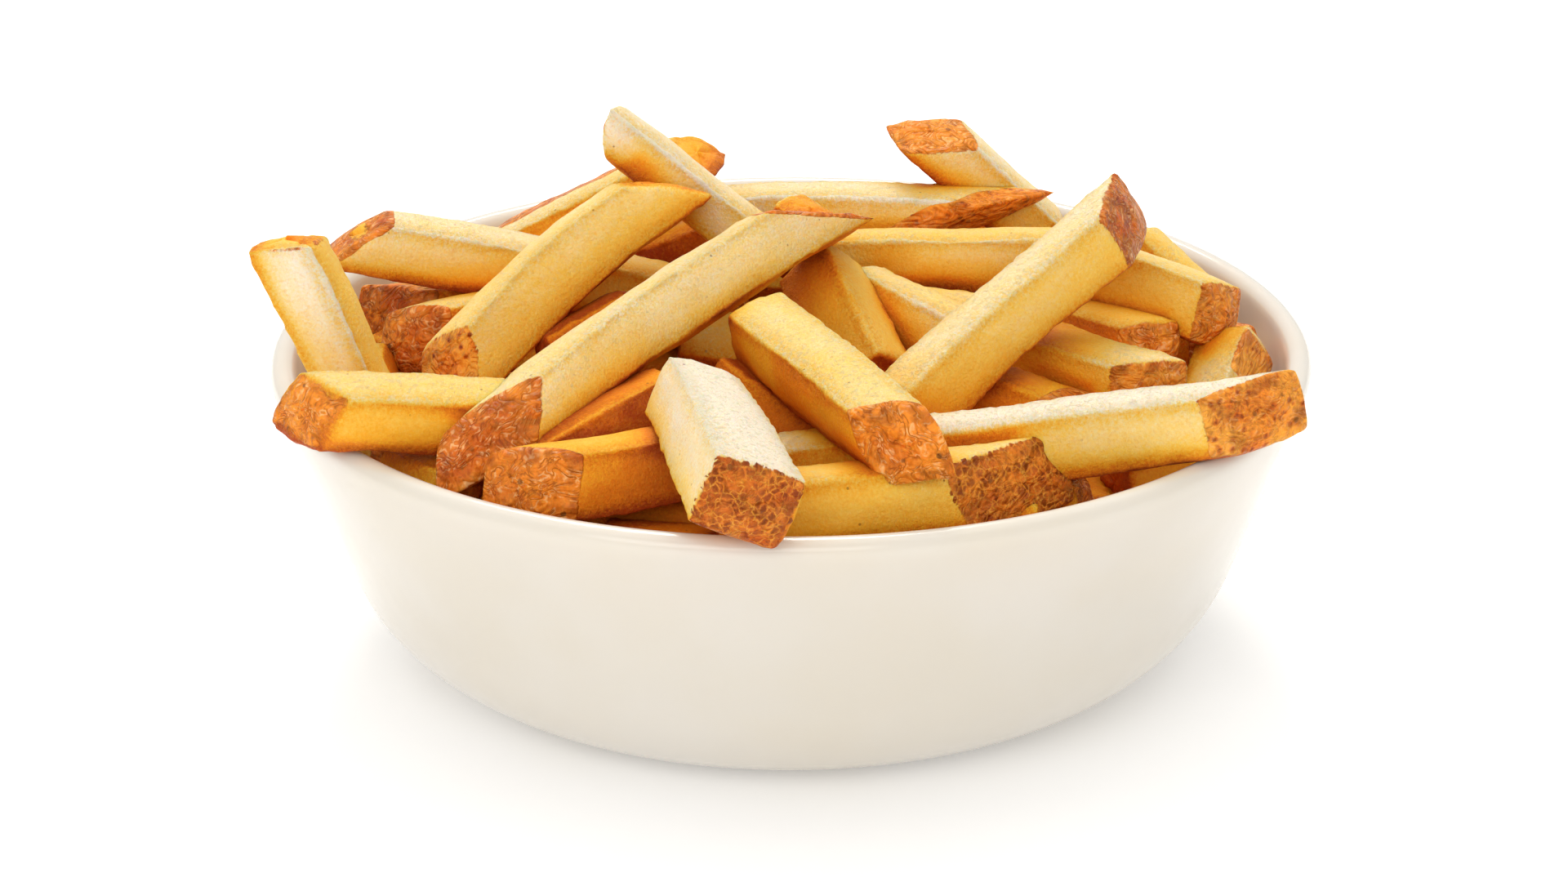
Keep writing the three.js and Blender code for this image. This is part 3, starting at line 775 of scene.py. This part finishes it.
class Nodes:
    """Short calls for building one material's nodes."""

    def __init__(self, name):
        self.material = bpy.data.materials.new(name)
        self.material.use_nodes = True
        self.tree = self.material.node_tree
        self.shader = self.tree.nodes["Principled BSDF"]

    def add(self, kind, inputs=None, **settings):
        node = self.tree.nodes.new("ShaderNode" + kind)
        for key, value in settings.items():
            setattr(node, key, value)
        for key, value in (inputs or {}).items():
            self.put(node.inputs[key], value)
        return node

    def put(self, socket, value):
        """Links an output to a socket, or sets a plain value on it."""
        if isinstance(value, bpy.types.NodeSocket):
            self.tree.links.new(value, socket)
        else:
            socket.default_value = value

    def finish(self, **values):
        """Puts values on the shader; a name's underscores stand for spaces."""
        for name, value in values.items():
            self.put(self.shader.inputs[name.replace("_", " ")], value)
        return self.material

    def attribute(self, name, output="Fac"):
        return self.add("Attribute", attribute_name=name).outputs[output]

    def math(self, operation, *values):
        return self.add("Math", dict(enumerate(values)), operation=operation).outputs[0]

    def times(self, first, *others):
        for other in others:
            first = self.math("MULTIPLY", first, other)
        return first

    def plus(self, base, value, factor):
        """The base with a value added, times its factor."""
        return self.math("MULTIPLY_ADD", value, factor, base)

    def ramp(self, value, low, high):
        """0 before low, 1 past high, smooth between; high may be the lower one."""
        inputs = {"Value": value, "From Min": low, "From Max": high}
        return self.add("MapRange", inputs, interpolation_type="SMOOTHSTEP").outputs[0]

    def noise(self, place, scale, detail=2.0, rough=0.5, warp=0.0, output="Fac"):
        inputs = {"Vector": place, "Scale": scale, "Detail": detail, "Roughness": rough, "Distortion": warp}
        return self.add("TexNoise", inputs).outputs[output]

    def cells(self, place, scale, feature="F1"):
        """The distance from the middle of the nearest cell, or from the nearest border."""
        return self.add("TexVoronoi", {"Vector": place, "Scale": scale}, feature=feature).outputs["Distance"]

    def mix(self, factor, a, b):
        """Colour a, turned into b by the factor."""
        node = self.add("Mix", {MIX_FACTOR: factor, MIX_A: a, MIX_B: b}, data_type="RGBA")
        return node.outputs[MIX_RESULT]

    def stops(self, value, stops):
        """A colour from stops of (value, colour), given in rising order from nought."""
        most = stops[-1][0]
        node = self.add("ValToRGB", {0: self.times(value, 1 / most)})
        bar = node.color_ramp.elements
        bar[0].color, bar[1].color = stops[0][1], stops[-1][1]
        for spot, colour in stops[1:-1]:
            bar.new(spot / most).color = colour
        return node.outputs[0]

    def vector(self, operation, *values):
        return self.add("VectorMath", dict(enumerate(values)), operation=operation).outputs[0]

    def bump(self, height, strength, distance):
        """A normal from a height; the distance is in millimetres."""
        inputs = {"Height": height, "Strength": strength, "Distance": distance * MM}
        return self.add("Bump", inputs).outputs[0]


FLESH = (  # from dried and pale to steeped in oil; its deep end also carries painted shade and its pale end painted top light
    (0.00, (0.94, 0.825, 0.64, 1)),
    (0.26, (0.97, 0.70, 0.28, 1)),
    (0.50, (0.98, 0.59, 0.090, 1)),
    (0.78, (0.95, 0.43, 0.020, 1)),
    (1.10, (0.83, 0.235, 0.008, 1)),
    (1.70, (0.45, 0.070, 0.005, 1)),
)
# pale crumbs, partly real crumbs and partly painted sparkle on what faces up
CRUMB_AND_GLINT = (1.0, 0.80, 0.46, 1)
EDGE_CRUST = (0.80, 0.33, 0.025, 1)
SPECK = (0.22, 0.07, 0.012, 1)
LIGHT_SKIN = (0.94, 0.285, 0.022, 1)
BROWN_SKIN = (0.62, 0.115, 0.008, 1)
DARK_SKIN = (0.20, 0.030, 0.004, 1)
GOLD_SKIN = (0.97, 0.44, 0.055, 1)
GLINT = (1.0, 0.66, 0.30, 1)

STREAKED = (1, 0.45, 1)  # draws the patches out along the fry

NOISES = {  # waves a millimetre, detail, roughness and distortion
    "patch": (0.13, 3, 0.55), "fine_patch": (0.55, 4, 0.6), "sparkle": (2.0, 4, 0.75),
    "grit": (1.3, 4, 0.75), "dots_here": (0.2,), "browning": (0.22, 4, 0.6, 0.6), "fine": (1.3, 4, 0.65),
    "blotch": (0.36, 4, 0.6, 0.8), "golden": (0.22, 2), "spot_place": (1.6, 2), "cell_shift": (0.8, 2),
    "cells_here": (0.45, 3), "ridge_here": (0.9, 2), "crease": (0.36, 2, 0.55, 1.1),
    "folds_here": (0.5, 2), "glint_here": (0.8, 3), "worn_here": (0.35, 2), "ragged": (1.4, 3, 0.6),
    "pores_here": (0.3,), "grain": (2.2, 4, 0.65), "blister": (0.9, 4, 0.6, 0.8), "rough": (1.7, 2, 0.5),
}
DABS = {"dots": 0.33, "spots": 0.62, "cracks": 0.85, "pores": 0.30}  # cells a millimetre
RAMPS = {  # where each mask starts and where it is whole
    "turned_down": (0.5, -0.3), "turned_up": (0.1, 0.7), "level": (0.3, 1.0), "crumbs": (0.58, 0.70),
    "crumbs_lie": (-0.1, 0.8), "crumbs_dry": (0.75, 0.30), "fleck": (0.50, 0.36), "dots": (0.085, 0.05),
    "dots_here": (0.5, 0.6), "browning": (0.05, 0.80), "fine": (0.54, 0.36), "blotch": (0.60, 0.80),
    "golden": (0.66, 0.40), "golden_border": (3.2, 0.2), "brown_spots": (0.42, 0.20),
    "dark_spots": (0.26, 0.10), "in_cell": (0.03, 0.26), "cells_here": (0.36, 0.62), "ridge": (0.12, 0.0),
    "ridge_here": (0.38, 0.60), "folds": (0.030, 0.0), "folds_here": (0.40, 0.58),
    "glint_starts": (0.025, 0.045), "glint_ends": (0.085, 0.050), "glint_here": (0.46, 0.60),
    "worn_here": (0.46, 0.66), "on_skin": (-0.12, 0.14), "pores": (0.17, 0.10),
    "pores_here": (0.46, 0.56),
}
AMOUNTS = {  # how much each adds to a depth, mask, colour or height
    "depth": 0.39, "patch": 0.30, "tone": 0.42, "fine_patch": 0.28, "low_edge_shade": 0.28, "sparkle": 0.6,
    "edge_sparkle": 0.8, "edge_crumbs_and_glints": 0.03, "level_crumbs_and_glints": 0.05, "crumbs": 0.55, "edge_fleck": 0.05,
    "fleck": 0.22, "dots": 0.6, "browning": 1.7, "fine": 0.26, "charred_blotch": 0.22, "blotch": 0.65,
    "spot_place": 0.30, "brown_spots": 0.85, "dark_spots": 0.75, "in_cell": 0.70, "ridge": 0.60,
    "smoothed_by_freckles": 0.7, "folds": 0.65, "glint": 0.60, "worn": 0.40, "pores": 0.75, "ragged": 0.6,
    "cell_step": 0.5, "edge_grain": 1.1, "crumb_height": 0.5, "blister_height": 0.8, "ridge_height": 0.5,
    "crease_height": 10.0, "rough": 0.30, "skin_rough": -0.06,
}
CELL_SHIFT = (1.1, 1.1, 1.1)  # millimetres
CELL_MIDDLE = 0.6  # the cells' shade at which the skin's border stays where it is
POTATO_ROUGH = 0.30
POTATO_BUMP = 0.36  # millimetres
POTATO_GLOSS = 0.15
POTATO_SOFTNESS, POTATO_SOFT_COLOUR, POTATO_SOFT_DEPTH = 0.5, (1.0, 0.62, 0.30), 1.8


class PotatoNodes(Nodes):
    """The nodes of fried potato, with what the mesh says about its finish at each point."""

    def __init__(self, name):
        super().__init__(name)
        self.place = self.attribute("grain", "Vector")
        self.streaks = self.vector("MULTIPLY", self.place, STREAKED)
        self.tone = self.attribute("tone")
        self.cracked = self.attribute("cells")
        self.char = self.attribute("char")
        self.edge = self.attribute("edge")
        self.facing = self.attribute("facing")
        self.freckle = self.attribute("freckle")
        self.in_skin = self.attribute("skin")

    def pattern(self, name, place=None):
        return self.noise(place or self.place, *NOISES[name])

    def even(self, name, place=None):
        """A named noise about nought."""
        return self.math("SUBTRACT", self.pattern(name, place), 0.5)

    def dabs(self, name):
        """The distance from the middle of the nearest of named spots."""
        return self.cells(self.place, DABS[name])

    def mask(self, name, value=None):
        """A named ramp of a value, or of the noise of the same name."""
        return self.ramp(value or self.pattern(name), *RAMPS[name])

    def raised(self, base, name, value):
        """The base with a value added, times the amount of that name."""
        return self.plus(base, value, AMOUNTS[name])

    def painted(self, colour, paint, name, *masks):
        """A colour with a paint over it where the masks are, by the amount of that name."""
        return self.mix(self.times(*masks, AMOUNTS[name]), colour, paint)


def flesh_colour(n):
    """The cut flesh, pale to gold to deep in soft patches, with painted shade on the edges that face down,
    and pale crumbs on what faces up that are partly real crumbs and partly painted sparkle; and the crumbs'
    mask.
    """
    depth = n.raised(AMOUNTS["depth"], "patch", n.pattern("patch", n.streaks))
    depth = n.raised(depth, "tone", n.tone)
    depth = n.raised(depth, "fine_patch", n.even("fine_patch", n.streaks))
    # painted shade on the edges that face down
    depth = n.raised(depth, "low_edge_shade", n.times(n.edge, n.mask("turned_down", n.facing)))
    sparkle = n.raised(AMOUNTS["sparkle"], "edge_sparkle", n.edge)
    depth = n.plus(depth, n.even("sparkle"), sparkle)
    flesh = n.stops(depth, FLESH)

    grit = n.pattern("grit")
    # crumbs on the edges and level faces that look up, partly painted sparkle
    crumbs = n.raised(grit, "edge_crumbs_and_glints", n.times(n.edge, n.mask("turned_up", n.facing)))
    crumbs = n.raised(crumbs, "level_crumbs_and_glints", n.mask("level", n.facing))
    lying = n.times(n.mask("crumbs_lie", n.facing), n.mask("crumbs_dry", depth))
    crumbs = n.times(n.mask("crumbs", crumbs), lying)
    flesh = n.painted(flesh, CRUMB_AND_GLINT, "crumbs", crumbs)
    fleck = n.mask("fleck", n.raised(grit, "edge_fleck", n.edge))
    flesh = n.painted(flesh, EDGE_CRUST, "fleck", fleck)
    dots = n.times(n.mask("dots", n.dabs("dots")), n.mask("dots_here"))
    return n.painted(flesh, SPECK, "dots", dots), crumbs


def browned_skin(n):
    """The skin's ground: orange to brown, with darker blotches."""
    browning = n.raised(n.char, "browning", n.even("browning", n.streaks))
    skin = n.mix(n.mask("browning", browning), LIGHT_SKIN, BROWN_SKIN)
    skin = n.painted(skin, DARK_SKIN, "fine", n.mask("fine"))
    blotch = n.raised(n.pattern("blotch"), "charred_blotch", n.char)
    return n.painted(skin, DARK_SKIN, "blotch", n.mask("blotch", blotch))


def freckled(n, skin):
    """The skin with golden patches near its border, and brown and dark spots."""
    golden = n.times(n.mask("golden"), n.mask("golden_border", n.in_skin), n.freckle)
    skin = n.mix(golden, skin, GOLD_SKIN)
    spots = n.raised(n.dabs("spots"), "spot_place", n.even("spot_place"))
    skin = n.painted(skin, BROWN_SKIN, "brown_spots", n.mask("brown_spots", spots), n.freckle)
    return n.painted(skin, DARK_SKIN, "dark_spots", n.mask("dark_spots", spots), n.freckle)


def cracked(n, skin):
    """The skin cracked into dark cells with golden ridges between; and the masks of both."""
    shift = n.noise(n.place, *NOISES["cell_shift"], output="Color")
    place = n.vector("MULTIPLY_ADD", shift, CELL_SHIFT, n.place)
    border = n.cells(place, DABS["cracks"], "DISTANCE_TO_EDGE")
    in_cell = n.times(n.mask("in_cell", border), n.mask("cells_here"))
    skin = n.painted(skin, DARK_SKIN, "in_cell", in_cell, n.cracked)
    ridge = n.times(n.mask("ridge", border), n.cracked, n.mask("ridge_here"))
    return n.painted(skin, GOLD_SKIN, "ridge", ridge), in_cell, ridge


def wrinkled(n, skin):
    """The skin with painted shade darkening its folds and a painted glint beside them, where it isn't
    cracked; and its creases.
    """
    crease = n.math("ABSOLUTE", n.even("crease", n.streaks))
    smooth = n.math("MAXIMUM", n.cracked, n.times(n.freckle, AMOUNTS["smoothed_by_freckles"]))
    folded = n.math("SUBTRACT", 1.0, smooth)
    # painted shade: the folds of the creases darkened
    folds = n.times(n.mask("folds", crease), folded, n.mask("folds_here"))
    skin = n.painted(skin, DARK_SKIN, "folds", folds)
    glint = n.times(n.mask("glint_starts", crease), n.mask("glint_ends", crease))
    glint = n.times(glint, folded, n.mask("glint_here"))
    return n.painted(skin, GLINT, "glint", glint), crease


def potato_material():
    """Fried potato: crisp flesh, and skin with a ragged border."""
    n = PotatoNodes("fried_potato")
    flesh, crumbs = flesh_colour(n)
    skin = freckled(n, browned_skin(n))
    skin, in_cell, ridge = cracked(n, skin)
    skin, crease = wrinkled(n, skin)
    skin = n.painted(skin, DARK_SKIN, "worn", n.edge, n.mask("worn_here"))
    pores = n.times(n.mask("pores", n.dabs("pores")), n.mask("pores_here"))
    skin = n.painted(skin, SPECK, "pores", pores)

    border = n.raised(n.in_skin, "ragged", n.even("ragged"))
    border = n.raised(border, "cell_step", n.times(n.math("SUBTRACT", in_cell, CELL_MIDDLE), n.cracked))
    on_skin = n.mask("on_skin", border)

    grain = n.times(n.even("grain"), n.raised(1.0, "edge_grain", n.edge))
    grain = n.raised(grain, "crumb_height", crumbs)
    folds = n.raised(n.times(crease, AMOUNTS["crease_height"]), "ridge_height", ridge)
    folds = n.raised(folds, "blister_height", n.pattern("blister"))
    height = n.plus(grain, n.math("SUBTRACT", folds, grain), on_skin)
    rough = n.raised(POTATO_ROUGH, "rough", n.pattern("rough"))
    return n.finish(
        Base_Color=n.mix(on_skin, flesh, skin),
        Roughness=n.raised(rough, "skin_rough", on_skin),
        Normal=n.bump(height, 1.0, POTATO_BUMP),
        Subsurface_Weight=POTATO_SOFTNESS,
        Subsurface_Radius=POTATO_SOFT_COLOUR,
        Subsurface_Scale=POTATO_SOFT_DEPTH * MM,
        Specular_IOR_Level=POTATO_GLOSS,
    )


GLAZE = (0.68, 0.635, 0.565, 1)
GLAZE_WARM = (0.665, 0.61, 0.52, 1)
GLAZE_CLOUD = (0.035, 2, 0.5)
GLAZE_CLOUD_RAMP = (0.3, 0.7)
GLAZE_RIPPLE = (0.06, 2, 0.5)
GLAZE_BUMP, GLAZE_BUMP_STRENGTH = 0.5, 0.5
GLAZE_ROUGH, GLAZE_CLOUD_ROUGH = 0.13, 0.06
GLAZE_IOR = 1.5
GLAZE_SOFTNESS, GLAZE_SOFT_COLOUR, GLAZE_SOFT_DEPTH = 0.4, (1.0, 0.95, 0.85), 7


def glaze_material():
    """The bowl's glaze: faintly clouded off-white, smooth and glossy."""
    n = Nodes("bowl_glaze")
    place = n.attribute("grain", "Vector")
    cloud = n.noise(place, *GLAZE_CLOUD)
    return n.finish(
        Base_Color=n.mix(n.ramp(cloud, *GLAZE_CLOUD_RAMP), GLAZE, GLAZE_WARM),
        Roughness=n.plus(GLAZE_ROUGH, cloud, GLAZE_CLOUD_ROUGH),
        Normal=n.bump(n.noise(place, *GLAZE_RIPPLE), GLAZE_BUMP_STRENGTH, GLAZE_BUMP),
        IOR=GLAZE_IOR,
        Subsurface_Weight=GLAZE_SOFTNESS,
        Subsurface_Radius=GLAZE_SOFT_COLOUR,
        Subsurface_Scale=GLAZE_SOFT_DEPTH * MM,
    )


WHITE = (1, 1, 1, 1)
FLOOR_WHITE = (0.90, 0.90, 0.90, 1)
FLOOR_GLOW = 0.20


def floor_material():
    """A matt white floor with a weak glow of its own."""
    n = Nodes("studio_floor")
    return n.finish(
        Base_Color=FLOOR_WHITE,
        Roughness=1.0,
        Specular_IOR_Level=0.0,
        Emission_Color=WHITE,
        Emission_Strength=FLOOR_GLOW,
    )


# ---- studio ----

FLOOR_HALF = 3000
WORLD_STRENGTH = 0.68
LIGHTS = (  # name, place and aim in metres, size, watts and colour
    ("overhead", (0.0, 0.3, 1.5), (0, 0, 0.03), (2.0, 1.6), 7.0, (1, 1, 1)),
    ("key", (-0.06, 0.75, 0.95), (0, 0, 0.05), (0.45, 0.45), 7.0, (1, 0.98, 0.93)),
    ("fill", (-0.30, -1.30, 0.85), (0, 0, 0.05), (1.6, 0.8), 9.0, (1, 0.985, 0.96)),
)


def add_camera():
    """The camera, back from its aim along its line of sight."""
    data = bpy.data.cameras.new("camera")
    data.lens = CAMERA_LENS
    data.sensor_width = CAMERA_SENSOR
    camera = bpy.data.objects.new("camera", data)
    bpy.context.scene.collection.objects.link(camera)
    pitch = math.radians(CAMERA_ELEVATION)
    back = Vector((0, -math.cos(pitch), math.sin(pitch))) * CAMERA_DISTANCE
    place = Matrix.Translation((Vector(CAMERA_AIM) + back) * MM)
    tilt = Matrix.Rotation(math.pi / 2 - pitch, 4, "X")
    roll = Matrix.Rotation(math.radians(CAMERA_ROLL), 4, "Z")
    camera.matrix_world = place @ tilt @ roll
    bpy.context.scene.camera = camera


def add_light(name, place, aim, size, watts, colour):
    """A soft rectangular light, turned to its aim."""
    data = bpy.data.lights.new(name, "AREA")
    data.shape = "RECTANGLE"
    data.size, data.size_y = size
    data.energy = watts
    data.color = colour
    light = bpy.data.objects.new(name, data)
    light.location = place
    light.rotation_euler = (Vector(aim) - Vector(place)).to_track_quat("-Z", "Y").to_euler()
    bpy.context.scene.collection.objects.link(light)


def add_floor():
    signs = ((-1, -1), (1, -1), (1, 1), (-1, 1))
    corners = [(x * FLOOR_HALF, y * FLOOR_HALF, 0) for x, y in signs]
    floor = mesh_object("floor", corners, [(0, 1, 2, 3)])
    floor.data.materials.append(floor_material())


def add_studio():
    """Plain soft light from all round and three lamps."""
    world = bpy.data.worlds.new("studio")
    world.use_nodes = True
    background = world.node_tree.nodes["Background"]
    background.inputs["Color"].default_value = WHITE
    background.inputs["Strength"].default_value = WORLD_STRENGTH
    bpy.context.scene.world = world
    for light in LIGHTS:
        add_light(*light)
    bpy.context.scene.view_settings.view_transform = "Standard"
    bpy.context.scene.view_settings.look = "None"


add_camera()
add_floor()
add_studio()
potato = potato_material()
bowl_piece(glaze_material())
core_piece(potato)
fry_pieces(potato)
